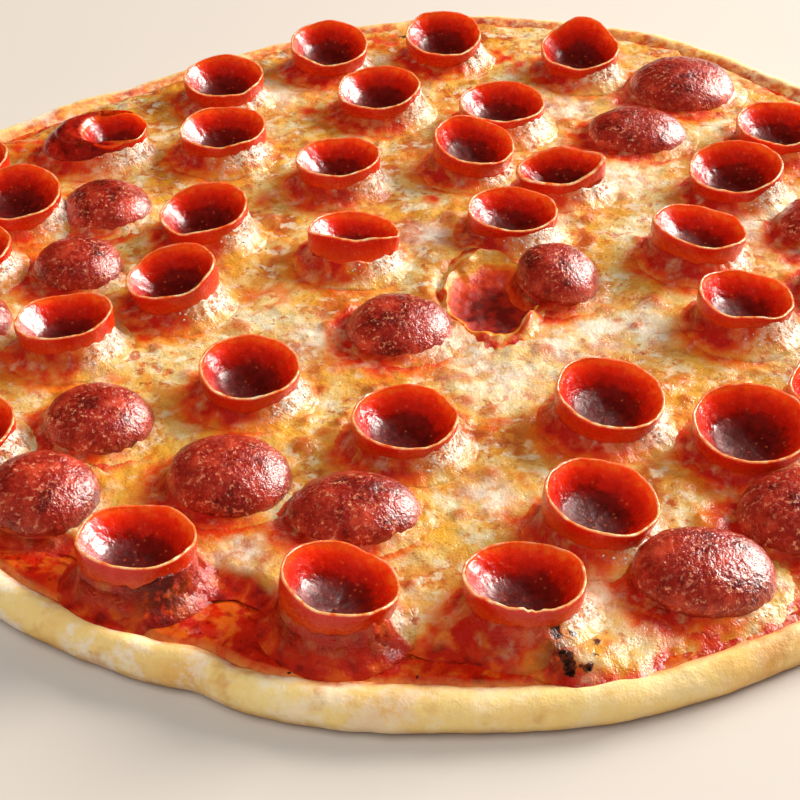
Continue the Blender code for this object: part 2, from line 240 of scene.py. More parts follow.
def bakedDough():
    f = Finish("bakedDough")
    f.tint = f.ramp(f.mottle(26, detail=4), (0.30, (254, 232, 172)), (0.52, (248, 212, 134)),
                    (0.74, (232, 172, 84)))
    low = f.fit(f.plus(f.height(), f.times(f.mottle(9, shift=3.1), 0.003)), 0.0016, 0.0062)
    f.tint = f.blend(low, f.ramp(f.mottle(12), (0.3, (190, 126, 50)), (0.7, (222, 168, 84))), f.tint)
    floury = f.spots(14, 0.46, 0.60, 0.0, 0.9, detail=5, rough=0.7, shift=1.7)
    f.paint(f.times(floury, f.mask("floury")), (250, 236, 222))
    f.paint(f.spots(17, 0.54, 0.72, 0.0, 0.7, detail=4, rough=0.65, shift=5.2), (206, 138, 58))
    stained = f.times(f.mask("stain"), f.spots(4, 0.3, 0.6, 0.35, 1.0, shift=8.2))
    f.paint(stained, f.ramp(f.mottle(6, detail=4, shift=2.4), (0.36, (170, 48, 10)), (0.5, (206, 92, 26)),
                            (0.64, (232, 156, 66))))
    f.paint(f.mask("scorch"), (98, 44, 18))
    return f.done(f.spots(6, 0.3, 0.7, 0.55, 0.8), (0.18, 2.0, 1.0, 0.6, 0.3),
                  ((0.35, 2.4, 4), (0.08, 0.6, 2)))


def tomatoSauce():
    f = Finish("tomatoSauce", Coat_Weight=0.6, Coat_Roughness=0.07)
    f.tint = f.ramp(f.mottle(8, detail=5, rough=0.6, twist=0.5), (0.3, (134, 12, 2)), (0.5, (190, 28, 5)),
                    (0.7, (220, 64, 10)))
    f.paint(f.spots(2.0, 0.6, 0.72, 0.0, 0.7, detail=2, shift=2.2), (84, 8, 4))
    f.paint(f.spots(5, 0.50, 0.64, 0.0, 0.85, detail=4, shift=6.6), (214, 96, 22))
    f.paint(f.times(f.mask("rim"), f.spots(3, 0.3, 0.6, 0.3, 1.0, shift=4.6)), (222, 134, 62))
    f.paint(f.mask("scorch"), (60, 12, 6))
    return f.done(f.spots(3, 0.3, 0.7, 0.14, 0.34), (0.15, 1.2, 1.0, 0.25, 0.1),
                  ((0.35, 2.6, 3), (0.10, 0.8, 2)))


def meltedCheese():
    f = Finish("meltedCheese", Coat_Roughness=0.14)
    patches = f.mottle(15, detail=5, rough=0.6, twist=0.4)
    f.tint = f.ramp(patches, (0.34, (226, 212, 172)), (0.44, (218, 184, 112)), (0.53, (210, 142, 58)),
                    (0.62, (186, 90, 28)), (0.74, (146, 50, 17)))
    fine = f.mottle(3.4, detail=5, rough=0.64, twist=0.4, shift=4.4)
    f.paint(f.fit(fine, 0.52, 0.64, 0.0, 0.85), (190, 86, 28))
    f.paint(f.spots(5.0, 0.52, 0.63, 0.0, 0.7, detail=4, rough=0.6, shift=6.1), (230, 220, 188))
    gold = f.most(f.mask("gold"), f.spots(11, 0.50, 0.62, 0.0, 0.7, shift=9.3))
    f.paint(f.times(gold, f.spots(4, 0.34, 0.56, 0.25, 0.95, detail=4, shift=1.4)), (224, 164, 44))
    f.paint(f.spots(1.9, 0.62, 0.74, 0.0, 0.7, detail=2, shift=5.8), (142, 50, 16))
    f.paint(f.times(f.mask("pale"), f.spots(6, 0.36, 0.56, 0.2, 0.9, detail=4, shift=5.5)), (236, 226, 204))
    f.paint(f.times(f.mask("toast"), f.fit(fine, 0.3, 0.55, 0.35, 1.0)), (190, 84, 24))
    # froth: cream lace, whose white also stands in for painted glints
    f.paint(f.mask("frothGlint"), f.ramp(f.mottle(1.7, rough=0.6, twist=1.2, shift=3.3),
                                    (0.38, (178, 66, 30)), (0.45, (226, 158, 112)), (0.53, (248, 234, 216))))
    # grease colour, which beside each slice also stands in for painted shade on its front-left side
    thin = f.less(f.plus(0.6, f.times(f.mottle(5, detail=4, shift=7.7), 0.6)), f.mask("oil"))
    runny = f.spots(4.5, 0.32, 0.56, 0.65, 1.0, detail=4, shift=2.9)
    oily = f.times(f.fit(f.mask("oil"), 0.04, 0.62), runny)
    f.paint(f.most(oily, f.mask("sauced")), f.ramp(thin, (0.0, (178, 22, 4)), (0.22, (206, 56, 8)),
                                                   (0.46, (220, 106, 16)), (0.74, (226, 158, 44))))
    f.paint(f.mask("sauced"), f.ramp(f.mottle(6, detail=4, shift=8.8), (0.34, (130, 12, 3)),
                                     (0.5, (184, 30, 5)), (0.66, (214, 84, 16))))
    # the burst bubble's hollow, golden high up and deep red low down; the darkest red low in the hollow is
    # partly painted shade
    deep = f.plus(f.mask("pit"), f.times(f.less(f.mottle(5, shift=3.7), 0.5), 0.7))
    f.paint(f.fit(f.mask("pit"), 0.04, 0.22), f.ramp(deep, (0.16, (240, 172, 56)), (0.42, (226, 104, 16)),
                                                     (0.62, (206, 58, 10)), (0.84, (168, 28, 6)),
                                                     (1.0, (112, 12, 4))))
    f.paint(f.times(f.mask("scorch"), f.spots(2.4, 0.32, 0.50, shift=2.6)), (74, 14, 6))
    charred = f.fit(f.plus(f.mask("char"), f.times(f.mottle(1.4, shift=1.1), 0.9)), 0.97, 1.2)
    f.paint(charred, f.ramp(f.mottle(1.5, shift=1.6), (0.42, (24, 9, 5)), (0.62, (96, 34, 12))))
    dull = f.most(f.most(f.mask("pit"), f.times(f.mask("sauced"), 0.5)), f.mask("scorch"))
    f.set("Coat Weight", f.fit(dull, 0.2, 0.6, 0.24, 0.02))
    rough = f.plus(f.spots(2.2, 0.3, 0.7, 0.28, 0.5), f.fit(f.mask("pit"), 0.3, 0.8, 0.0, 0.25))
    return f.done(rough, (0.2, 1.4, 1.0, 0.5, 0.22),
                  ((0.55, 2.2, 3, 0.6), (0.18, 0.7, 2)))


def curledPepperoni():
    f = Finish("curledPepperoni", Coat_Roughness=0.07)
    streaks = f.times(f.less(f.mottle(2.4, detail=4, rough=0.6), 0.5), 0.35)
    streaked = f.plus(f.mask("rise"), streaks)
    f.tint = f.ramp(streaked, (0.15, (232, 110, 18)), (0.45, (220, 66, 10)), (0.9, (202, 34, 7)))
    # inside: dark low down, partly dark grease and partly painted shade on the floor, and bright near the
    # lip, a painted glow of light passing through the wall
    f.paint(f.mask("inside"), f.ramp(streaked, (0.22, (78, 9, 4)), (0.38, (118, 12, 4)),
                                     (0.60, (196, 24, 5)), (0.80, (230, 42, 8)), (0.98, (250, 90, 16))))
    f.paint(f.mask("folded"), f.ramp(f.mottle(4, detail=5, rough=0.62, shift=1.9), (0.32, (96, 12, 6)),
                                     (0.5, (150, 22, 10)), (0.7, (190, 44, 22))))
    # painted glow where light from behind shines through the upper back-right wall
    f.paint(f.times(f.mask("amber"), f.spots(2.8, 0.42, 0.62, shift=7.1)), (250, 120, 26))
    f.paint(f.fit(f.cells(2.2), 0.05, 0.22, 0.4, 0.0), (232, 112, 56))
    # the lip's pale colour, partly a painted highlight
    f.paint(f.mask("lip"), f.ramp(f.mottle(2.6, shift=4.0), (0.34, (230, 104, 36)), (0.5, (242, 176, 112)),
                                  (0.66, (252, 224, 176))))
    # glossy high inside, and dull low inside
    shiny, dull = (f.times(f.mask("inside"), f.fit(f.mask("rise"), 0.32, 0.46, *ends))
                   for ends in ((0.0, 1.0), (1.0, 0.0)))
    f.set("Coat Weight", f.fit(shiny, 0.0, 1.0, 0.08, 0.75))
    rough = f.plus(f.spots(1.6, 0.3, 0.7, 0.16, 0.32), f.times(dull, 0.3))
    return f.done(rough, (0.45, 2.4, 1.0, 0.22, 0.08),
                  ((0.26, 1.8, 3), (0.07, 0.6, 2)))


def domedPepperoni():
    f = Finish("domedPepperoni", Coat_Weight=1.0, Coat_Roughness=0.17)
    f.tint = f.ramp(f.mottle(7, detail=5, rough=0.6), (0.32, (98, 12, 5)), (0.5, (154, 28, 12)),
                    (0.7, (206, 66, 36)))
    f.paint(f.times(f.spots(1.4, 0.54, 0.66, rough=0.7, shift=2.0),
                    f.spots(8, 0.40, 0.58, 0.2, 0.9, shift=3.0)), (236, 150, 108))
    f.paint(f.spots(1.0, 0.52, 0.68, 0.0, 0.5, detail=2, shift=6.0), (206, 70, 44))
    f.paint(f.fit(f.mask("rise"), 0.0, 0.3, 0.7, 0.0), (176, 40, 10))
    return f.done(f.spots(1.4, 0.3, 0.7, 0.28, 0.45), (0.2, 1.4, 1.0, 0.25, 0.12),
                  ((0.42, 1.2, 3), (0.17, 0.55, 2)))


def plainFinish(name, colour, rough, coat=0.0):
    # small scattered bits: one tone with a little drift, and gloss
    f = Finish(name, Coat_Weight=coat, Coat_Roughness=0.05)
    f.tint = f.blend(f.mottle(1.5), colour, tuple(0.7 * c for c in colour))
    return f.done(f.spots(1.0, 0.3, 0.7, rough, rough + 0.15))


# Shapes

noiseDraw = np.random.default_rng(7)
slopes = noiseDraw.normal(size=(256, 3))
slopes /= np.linalg.norm(slopes, axis=1)[:, None]
shuffled = noiseDraw.permutation(256)


def softNoise(points, size, seed=0):
    # smooth noise from about -1 to 1 over points in millimetres
    shape = points.shape[:-1]
    p = points.reshape(-1, 3) / size + 17.31 * seed + 900
    cell = np.floor(p).astype(int)
    f = p - cell
    ease = f ** 3 * (f * (f * 6 - 15) + 10)
    total = np.zeros(len(p))
    for corner in product((0, 1), repeat=3):
        at = (cell + corner) & 255
        index = shuffled[(shuffled[(shuffled[at[:, 0]] + at[:, 1]) & 255] + at[:, 2]) & 255]
        weight = np.prod(np.where(corner, ease, 1 - ease), axis=1)
        total += weight * (slopes[index] * (f - corner)).sum(axis=1)
    return 1.7 * total.reshape(shape)


def between(values, low, high):
    # 0 below low, 1 above high, eased between
    share = np.clip((values - low) / (high - low), 0, 1)
    return share * share * (3 - 2 * share)


def bell(distance, reach):
    return np.exp(-(distance / reach) ** 2)


def finer(values, count, closed):
    # a row of values, along its first axis, made finer by a smooth curve through them
    n = len(values)
    at = np.arange(count) * n / count if closed else np.linspace(0, n - 1, count)
    i = np.floor(at).astype(int) if closed else np.minimum(np.floor(at).astype(int), n - 2)
    share = (at - i).reshape(-1, *[1] * (values.ndim - 1))
    a, b, c, d = (values[(i + k) % n if closed else np.clip(i + k, 0, n - 1)] for k in (-1, 0, 1, 2))
    bend = (2 * a - 5 * b + 4 * c - d) * share ** 2 + (3 * b - a - 3 * c + d) * share ** 3
    return 0.5 * (2 * b + (c - a) * share + bend)


def evenRound(values, count):
    return finer(values, count, True)


def evenAlong(values, count):
    return finer(values, count, False)


def makePiece(name, points, faces, finish, masks=None):
    mesh = bpy.data.meshes.new(name)
    mesh.from_pydata((np.asarray(points) * mm).tolist(), [], faces)
    for mask, values in (masks or {}).items():
        data = mesh.attributes.new(mask, "FLOAT", "POINT").data
        data.foreach_set("value", np.ravel(values).astype(np.float32))
    mesh.materials.append(finish)
    mesh.shade_smooth()
    return addToScene(bpy.data.objects.new(name, mesh))


def ringFaces(rows, columns):
    # quads between closed rings, each ring above or further in than the one before
    below = np.arange((rows - 1) * columns).reshape(rows - 1, columns)
    beside = np.roll(below, -1, axis=1)
    return np.stack([below, beside, beside + columns, below + columns], axis=-1).reshape(-1, 4).tolist()


def closedSkin(name, rings, start, end, finish, masks=None):
    # a closed surface over rings of points, with a fan to the start point and one to the end point
    rows, columns = rings.shape[:2]
    points = np.concatenate([rings.reshape(-1, 3), [start], [end]])
    faces = ringFaces(rows, columns)
    first, last = rows * columns, rows * columns + 1
    top = (rows - 1) * columns
    for i in range(columns):
        j = (i + 1) % columns
        faces.append((first, j, i))
        faces.append((top + i, top + j, last))
    whole = {name: np.concatenate([np.ravel(values), [values[0].mean(), values[-1].mean()]])
             for name, values in (masks or {}).items()}
    return makePiece(name, points, faces, finish, whole)


def ringNormals(rings):
    around = np.roll(rings, -1, axis=1) - np.roll(rings, 1, axis=1)
    normals = np.cross(around, np.gradient(rings, axis=0))
    return normals / np.maximum(np.linalg.norm(normals, axis=-1, keepdims=True), 1e-9)


def cadPoints(name):
    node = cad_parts[name]
    points = np.empty(len(node.data.vertices) * 3)
    node.data.vertices.foreach_get("co", points)
    turn = np.array(node.matrix_world)
    placed = points.reshape(-1, 3) @ turn[:3, :3].T + turn[:3, 3]
    return np.unique(np.round(placed / mm, 3), axis=0)


def cadSurface(*names):
    # for rays cast down on CAD nodes, in millimetres
    corners, faces = [], []
    for name in names:
        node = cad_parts[name]
        start = len(corners)
        corners += [node.matrix_world @ v.co / mm for v in node.data.vertices]
        faces += [[start + i for i in face.vertices] for face in node.data.polygons]
    return BVHTree.FromPolygons(corners, faces)


def pieceSurface(piece):
    corners = [v.co / mm for v in piece.data.vertices]
    return BVHTree.FromPolygons(corners, [tuple(face.vertices) for face in piece.data.polygons])


def heightsOver(surface, points, missing=0.0):
    found = np.full(points.shape[:-1], float(missing))
    for i in np.ndindex(found.shape):
        hit = surface.ray_cast(Vector((*points[i][:2], rayStart)), Vector((0, 0, -1)))[0]
        if hit:
            found[i] = hit.z
    return found


def groundUnder(surfaces, points):
    return np.max([heightsOver(surface, points) for surface in surfaces], axis=0)


def bySpoke(points):
    out = points - pizzaCentre
    index = np.round(np.arctan2(out[:, 1], out[:, 0]) * spokeCount / (2 * pi)).astype(int) % spokeCount
    return [points[index == k] for k in range(spokeCount)]


def outwards(points):
    return np.hypot(points[..., 0] - pizzaCentre[0], points[..., 1] - pizzaCentre[1])


def sideways(vectors):
    # the same vectors without their height, one long
    flat = vectors * (1, 1, 0)
    return flat / np.maximum(np.linalg.norm(flat, axis=-1, keepdims=True), 1e-6)


def anglesRound(count):
    return 2 * pi * np.arange(count) / count


def polar(radius, angle, height):
    radius, angle, height = np.broadcast_arrays(radius, angle, height)
    flat = np.stack([radius * np.cos(angle), radius * np.sin(angle), height], axis=-1)
    return flat + pizzaCentre


# Geometry Nodes

def startTree(name, **inputs):
    # a tree with named inputs
    tree = bpy.data.node_groups.new(name, "GeometryNodeTree")
    tree.interface.new_socket("Geometry", in_out="INPUT", socket_type="NodeSocketGeometry")
    kinds = {float: "NodeSocketFloat", int: "NodeSocketInt", str: "NodeSocketString"}
    for label, value in inputs.items():
        kind = kinds.get(type(value), "NodeSocketMaterial")
        socket = tree.interface.new_socket(label.replace("_", " "), in_out="INPUT", socket_type=kind)
        if kind != "NodeSocketMaterial":
            socket.default_value = value
    tree.interface.new_socket("Geometry", in_out="OUTPUT", socket_type="NodeSocketGeometry")
    return tree, tree.nodes.new("NodeGroupInput").outputs


def endTree(tree, geometry, material):
    # the tree gives what stands on the surface as one mesh, smooth and with its material
    real = node(tree, "GeometryNodeRealizeInstances", {"Geometry": geometry})
    dressed = node(tree, "GeometryNodeSetMaterial", {"Geometry": real[0], "Material": material})
    smooth = node(tree, "GeometryNodeSetShadeSmooth", {"Geometry": dressed[0]})
    tree.links.new(smooth[0], tree.nodes.new("NodeGroupOutput").inputs[0])
    return tree


def reliefTree():
    # moves a surface in and out along its normals by two sizes of soft noise
    tree, given = startTree("meatRelief", Coarse_height=0.0, Coarse_size=0.004, Fine_height=0.0,
                            Fine_size=0.0015, Shift=0.0, Material=None)
    place = node(tree, "GeometryNodeInputPosition")[0]
    drift = node(tree, "ShaderNodeCombineXYZ", dict.fromkeys(range(3), given["Shift"]))[0]
    moved = node(tree, "ShaderNodeVectorMath", {0: place, 1: drift}, operation="ADD")[0]
    total = None
    for layer in ("Coarse", "Fine"):
        scale = calc(tree, "DIVIDE", 1.0, given[layer + " size"])
        noise = node(tree, "ShaderNodeTexNoise", {"Vector": moved, "Scale": scale, "Detail": 1.0})[0]
        high = calc(tree, "MULTIPLY", calc(tree, "SUBTRACT", noise, 0.5), given[layer + " height"])
        total = calc(tree, "ADD", total, high) if total else high
    normal = node(tree, "GeometryNodeInputNormal")[0]
    offset = node(tree, "ShaderNodeVectorMath", {0: normal, "Scale": total}, operation="SCALE")[0]
    raised = node(tree, "GeometryNodeSetPosition", {"Geometry": given["Geometry"], "Offset": offset})[0]
    return endTree(tree, raised, given["Material"])


def scatterTree():
    # strews small flattened grains over a surface where its mask is high
    tree, given = startTree("strewnBits", Mask="strew", Density=1000.0, Smallest=0.0004, Largest=0.001,
                            Flatness=0.5, Stretch=1.5, Detail=2, Seed=0, Material=None)
    mask = node(tree, "GeometryNodeInputNamedAttribute", {"Name": given["Mask"]})[0]
    thick = node(tree, "ShaderNodeMapRange", {"Value": mask, "From Min": 0.25, "From Max": 1.0})[0]
    strewn = node(tree, "GeometryNodeDistributePointsOnFaces", {
        "Mesh": given["Geometry"], "Density": calc(tree, "MULTIPLY", thick, given["Density"]),
        "Seed": given["Seed"]})
    grain = node(tree, "GeometryNodeMeshIcoSphere", {"Radius": 1.0, "Subdivisions": given["Detail"]})[0]
    stretched = node(tree, "ShaderNodeCombineXYZ", {0: given["Stretch"], 1: 1.0, 2: given["Flatness"]})[0]
    shaped = node(tree, "GeometryNodeTransform", {"Geometry": grain, "Scale": stretched})[0]

    def random(low, high):
        return node(tree, "FunctionNodeRandomValue", {2: low, 3: high, "Seed": given["Seed"]})[1]

    about = node(tree, "ShaderNodeCombineXYZ", {2: random(0.0, fullTurn)})[0]
    turn = node(tree, "FunctionNodeRotateRotation", {
        "Rotation": strewn["Rotation"], "Rotate By": about}, rotation_space="LOCAL")[0]
    placed = node(tree, "GeometryNodeInstanceOnPoints", {
        "Points": strewn["Points"], "Instance": shaped, "Rotation": turn,
        "Scale": random(given["Smallest"], given["Largest"])})[0]
    return endTree(tree, placed, given["Material"])


def applyTree(piece, tree, **values):
    # runs the tree on the piece and leaves a plain mesh
    modifier = piece.modifiers.new(tree.name, "NODES")
    modifier.node_group = tree
    sockets = {s.name: s.identifier for s in tree.interface.items_tree if s.in_out == "INPUT"}
    for label, value in values.items():
        modifier[sockets[label.replace("_", " ")]] = value
    evaluated = piece.evaluated_get(bpy.context.evaluated_depsgraph_get())
    result = bpy.data.meshes.new_from_object(evaluated, preserve_all_data_layers=True,
                                             depsgraph=bpy.context.evaluated_depsgraph_get())
    piece.modifiers.clear()
    old = piece.data
    piece.data = result
    result.name = piece.name
    bpy.data.meshes.remove(old)


def strewOver(surface, name, tree, **values):
    # a new piece of small grains on a copy of a finished surface
    piece = addToScene(bpy.data.objects.new(name, surface.data.copy()))
    applyTree(piece, tree, **values)
    return piece


def deliver(piece, slot, *nodes):
    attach(piece, "root")
    if nodes:
        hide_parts(*nodes)


# Slices of pepperoni

class CadSlice:
    # Where a CAD slice stands, how it leans, and its rings of twelve corners in its own frame.
    def __init__(self, name):
        self.name = name
        points = cadPoints(name)
        axis = self.upwards(np.linalg.eigh(np.cov((points - points.mean(axis=0)).T))[1][:, 0])
        for _ in range(2):
            foot = points[np.argsort(points @ axis)[:12]]
            self.base = foot.mean(axis=0)
            axis = self.upwards(np.linalg.svd(foot - self.base)[2][2])
        across = np.cross((0, 1, 0), axis)
        across /= np.linalg.norm(across)
        self.turn = np.array([across, np.cross(axis, across), axis])
        local = (points - self.base) @ self.turn.T
        self.local = local[np.argsort(local[:, 2])]
        proud = 2 / (1 + cos(pi / 12))
        self.isCup = len(self.local) > 56
        footShare = 0.70 if self.isCup else 0.92
        self.half = np.abs(self.local[:12, :2]).max(axis=0) / proud / footShare
        if self.isCup:
            self.readRim(proud)
        else:
            self.height = self.local[-1, 2]

    @staticmethod
    def upwards(axis):
        return axis if axis[2] > 0 else -axis

    def readRim(self, proud):
        rim = self.local[36:60]
        order = np.argsort(-np.hypot(rim[:, 0] / self.half[0], rim[:, 1] / self.half[1]))
        outer, inner = rim[order[:12]], rim[order[12:]]
        self.shift = (inner[:, 0].max() + inner[:, 0].min()) / 2
        self.innerHalf = np.array([np.ptp(inner[:, 0]), np.ptp(inner[:, 1])]) / 2 / proud
        angles = np.arctan2(outer[:, 1] / self.half[1], outer[:, 0] / self.half[0])
        self.lip = outer[np.argsort(np.round(angles * 6 / pi).astype(int) % 12), 2]
        self.height = self.lip.mean()

    def wallAt(self, x, y, level):
        # how far outside the slice's wall each place is, at a height above the floor
        up = (level - self.base[2]) / self.turn[2][2]
        middle = self.base + self.turn[2] * up
        share = 0.90 if self.isCup else 1.0
        a, b = self.half * share
        out = np.hypot((x - middle[0]) / a, (y - middle[1]) / b)
        return (out - 1) * (a + b) / 2, middle

    def wallPoints(self, angle, level):
        # points on the outer wall, in directions round the slice, at shares of its height
        profile = np.array(cupShape["outside"] if self.isCup else domeShape["profile"][:6])
        share = np.interp(level, profile[:, 1], profile[:, 0])
        return self.placed(self.ringAt(share, angle, level))

    def ringAt(self, share, angle, level):
        return np.stack([self.half[0] * share * np.cos(angle), self.half[1] * share * np.sin(angle),
                         0 * angle + self.height * level], -1)

    def placed(self, local):
        return local @ self.turn + self.base


cupShape = {
    "columns": 96, "rows": 52,
    # shares of the half width, and of the height of the lip
    "outside": ((0.45, 0.0), (0.66, 0.015), (0.80, 0.10), (0.92, 0.28), (0.975, 0.55), (0.995, 0.80),
                (1.0, 0.93)),
    "crest": ((0.12, 0.988), (0.5, 1.0), (0.88, 0.988)),
    "inside": ((1.0, 0.945), (0.935, 0.84), (0.86, 0.725), (0.785, 0.61), (0.705, 0.50), (0.61, 0.395),
               (0.49, 0.31), (0.33, 0.262), (0.15, 0.245)),
    "foldedOutside": (0.50, 0.78, 0.95, 1.0, 0.94, 0.80, 0.68),     # of the half width, where folded over
    "thinLip": 0.5,         # how much thinner the wall is at its lip than in CAD
    "lipWave": 0.24, "wallWave": 0.28, "wrinkle": 0.14, "meatRelief": (0.00025, 0.0032, 0.0001, 0.0012),
    # slices that curled unevenly: how far the near lip leans in and up, and how far the right end is pinched
    "leaning": {"pepperoni_cup_16": (7.0, 2.6, 0.0), "pepperoni_folded_01": (0.0, -1.5, 0.45)},
    "crumbled": ("pepperoni_cup_30", -80, 38, 0.9),     # ragged lip: direction, half width and height
    "widened": {"pepperoni_folded_02": (1.6, 0.9)},     # how much wider its opening is, and further right
}


def noiseRing(angle, height):
    # where the noise of a slice is read, so that it closes and no two slices are alike
    return np.stack(np.broadcast_arrays(14 * np.cos(angle), 14 * np.sin(angle), height), -1)


def endSlice(piece, rings, finish, masks, slot, relief, sizes, shift):
    skin = (piece.placed(part) for part in (rings, rings[0].mean(axis=0), rings[-1].mean(axis=0)))
    made = closedSkin(piece.name + "_slice", *skin, finish, masks)
    labels = ("Coarse_height", "Coarse_size", "Fine_height", "Fine_size")
    applyTree(made, relief, Shift=shift, Material=finish, **dict(zip(labels, sizes)))
    deliver(made, slot, piece.name)


def curledSlice(piece, index, finish, relief):
    shape = cupShape
    angle = anglesRound(shape["columns"])
    lip = evenRound(piece.lip, shape["columns"])
    roundLip = noiseRing(angle, 31.0 * index)
    lip = lip + shape["lipWave"] * (softNoise(roundLip, 7, 1) + 0.5 * softNoise(roundLip, 2.6, 2))
    leanIn, leanUp, pinch = shape["leaning"].get(piece.name, (0.0, 0.0, 0.0))
    if leanIn:
        lip = lip.mean() + 0.4 * (lip - lip.mean())
    hollow = piece.innerHalf + shape["thinLip"]
    if pinch:
        hollow, piece.shift = piece.half - 1.4, 0.0
    wider, further = shape["widened"].get(piece.name, (0.0, 0.0))
    hollow, piece.shift = hollow + wider, piece.shift + further
    crumbled, direction, halfTurn, height = shape["crumbled"]
    if piece.name == crumbled:
        crumbs = np.abs(softNoise(roundLip, 1.6, 9)) - np.abs(softNoise(roundLip, 3.1, 10))
        lip = lip + height * bell(turnFrom(angle, direction), halfTurn) * crumbs
    rows, inside, rise = [], [], []

    circle = np.stack([np.cos(angle), np.sin(angle)], -1)
    edge = hollow * circle + (piece.shift, 0)
    crest = np.hypot(*(piece.half * circle - edge).T)
    fold = between(crest, 2.5, 7.0)                 # a folded slice is domed on its closed side
    bulge = 0.13 * np.maximum(crest - 2.0, 0)

    def addRow(flat, level, isInside, lift=0.0):
        rows.append(np.column_stack([flat, lip * level + lift]))
        inside.append(isInside)
        rise.append(level)

    for (share, level), domed in zip(shape["outside"], shape["foldedOutside"]):
        addRow(piece.half * circle * (share + (domed - share) * fold)[:, None], level, 0.0)
    last = rows[-1][:, :2]
    for share, level in shape["crest"]:
        addRow(last + share * (edge - last), level, share, bulge * sin(pi * share))
    for share, level in shape["inside"]:
        addRow(hollow * circle * share + (piece.shift, 0), level, 1.0)
    rings = evenAlong(np.array(rows), shape["rows"])
    inside, rise = (evenAlong(np.array(values), shape["rows"]) for values in (inside, rise))

    # both sides of the wall sway together, so that it keeps its thickness
    flat = noiseRing(angle, rings[..., 2] + 40.0 * index)
    sway = shape["wallWave"] * softNoise(flat, 9, 3) * between(rings[..., 2], 1.0, 6.0)
    sway += shape["wrinkle"] * softNoise(flat * (1, 1, 0.45), 2.8, 4)
    rings += sideways(rings - rings.mean(axis=1, keepdims=True)) * sway[..., None]
    near = np.clip(-np.sin(angle), 0, 1) ** 1.2 * between(rings[..., 2], 1.5, 10.0)
    rings[..., 1] += leanIn * near
    rings[..., 2] += leanUp * near
    rings[..., 1] *= 1 - pinch * np.clip(np.cos(angle), 0, 1) ** 2
    masks = {
        # painted glow of light shining through the upper back-right wall
        "amber": 0.7 * between(rise, 0.72, 0.93)[:, None] * (0.5 + 0.5 * np.cos(angle - radians(40))) ** 4,
        "inside": np.repeat(between(inside, 0.0, 1.0)[:, None], shape["columns"], axis=1),
        "rise": np.repeat(rise[:, None], shape["columns"], axis=1),
        # pale lip, partly a painted highlight, strongest at the front
        "lip": between(rise, 0.955, 0.985)[:, None] * (1 - between(crest, 2.0, 3.5))
               * np.clip(0.62 - 0.38 * np.sin(angle) + 0.3 * softNoise(roundLip, 4, 8), 0.1, 1.0),
        "folded": np.repeat(fold[None], shape["rows"], axis=0) * (1 - between(inside, 0.85, 1.0))[:, None],
    }
    endSlice(piece, rings, finish, masks, "pepperoni_cup", relief, shape["meatRelief"], 0.37 * index)


domeShape = {
    "columns": 132, "rows": 50,
    "profile": ((0.60, 0.0), (0.86, 0.01), (0.96, 0.10), (1.0, 0.27), (0.95, 0.48), (0.83, 0.68),
                (0.66, 0.84), (0.46, 0.94), (0.22, 0.99), (0.03, 1.0)),
    "lump": 0.4, "dimple": 0.16, "meatRelief": (0.0004, 0.0024, 0.0003, 0.0011),
}


def domedSlice(piece, index, finish, relief):
    shape = domeShape
    angle = anglesRound(shape["columns"])
    rows = [piece.ringAt(share, angle, level) for share, level in shape["profile"]]
    rings = evenAlong(np.array(rows), shape["rows"])
    rise = np.clip(rings[..., 2] / piece.height, 0, 1)
    local = rings + (0, 0, 50.0 * index)
    swell = shape["lump"] * softNoise(local, 11, 5) + shape["dimple"] * softNoise(local, 4.5, 6)
    rings = rings + ringNormals(rings) * (swell * between(rings[..., 2], 0.5, 3.0))[..., None]
    masks = {"rise": rise}
    endSlice(piece, rings, finish, masks, "pepperoni_dome", relief, shape["meatRelief"], 0.53 * index)


# Crust

crustShape = {
    "rows": 58, "profileMiddle": 4.6,
    "relief": ((22, 0.65), (8, 0.42), (2.6, 0.12)),
    "flourySide": 12, "stained": (95, 62), "scorched": (88.5, 1.5),     # directions and half widths
}


def buildCrust():
    shape = crustShape
    profile = np.zeros((9, spokeCount, 3))
    for k, spoke in enumerate(bySpoke(cadPoints("crust"))):
        radius = outwards(spoke)
        around = np.degrees(np.arctan2(spoke[:, 2] - shape["profileMiddle"], radius - radius.mean()))
        around[around < -100] += 360
        profile[:, k] = spoke[np.argsort(around)]
    fine = evenRound(profile.transpose(1, 0, 2), roundCount).transpose(1, 0, 2)
    rings = evenAlong(fine, shape["rows"])
    relief = sum(height * softNoise(rings, size, 20 + i)
                 for i, (size, height) in enumerate(shape["relief"]))
    rings = rings + ringNormals(rings) * (relief * between(rings[..., 2], 0.2, 2.5))[..., None]
    rings[..., 2] = np.maximum(rings[..., 2], 0.0)
    angle = np.arctan2(rings[..., 1] - pizzaCentre[1], rings[..., 0] - pizzaCentre[0])
    atBack, scorched = (bell(np.degrees(np.abs(angle - radians(direction))), halfTurn)
                        for direction, halfTurn in (shape["stained"], shape["scorched"]))
    across = np.broadcast_to(np.arange(shape["rows"])[:, None], angle.shape) / shape["rows"]
    uneven = 0.06 * softNoise(rings, 9, 24) + 0.04 * softNoise(rings, 3.5, 25)
    masks = {
        "floury": 0.2 + 0.8 * np.clip(-np.cos(angle - radians(shape["flourySide"])), 0, 1),
        "stain": between(across + uneven + 0.17 * atBack, 0.62, 0.80),
        "scorch": 0.9 * scorched * between(rings[..., 2], 4, 8),
    }
    low, high = rings[0].mean(axis=0) * (1, 1, 0), rings[-1].mean(axis=0)
    crust = closedSkin("crust_baked", rings, low, high, bakedDough(), masks)
    deliver(crust, "crust", "crust")
    return crust


# Sauce

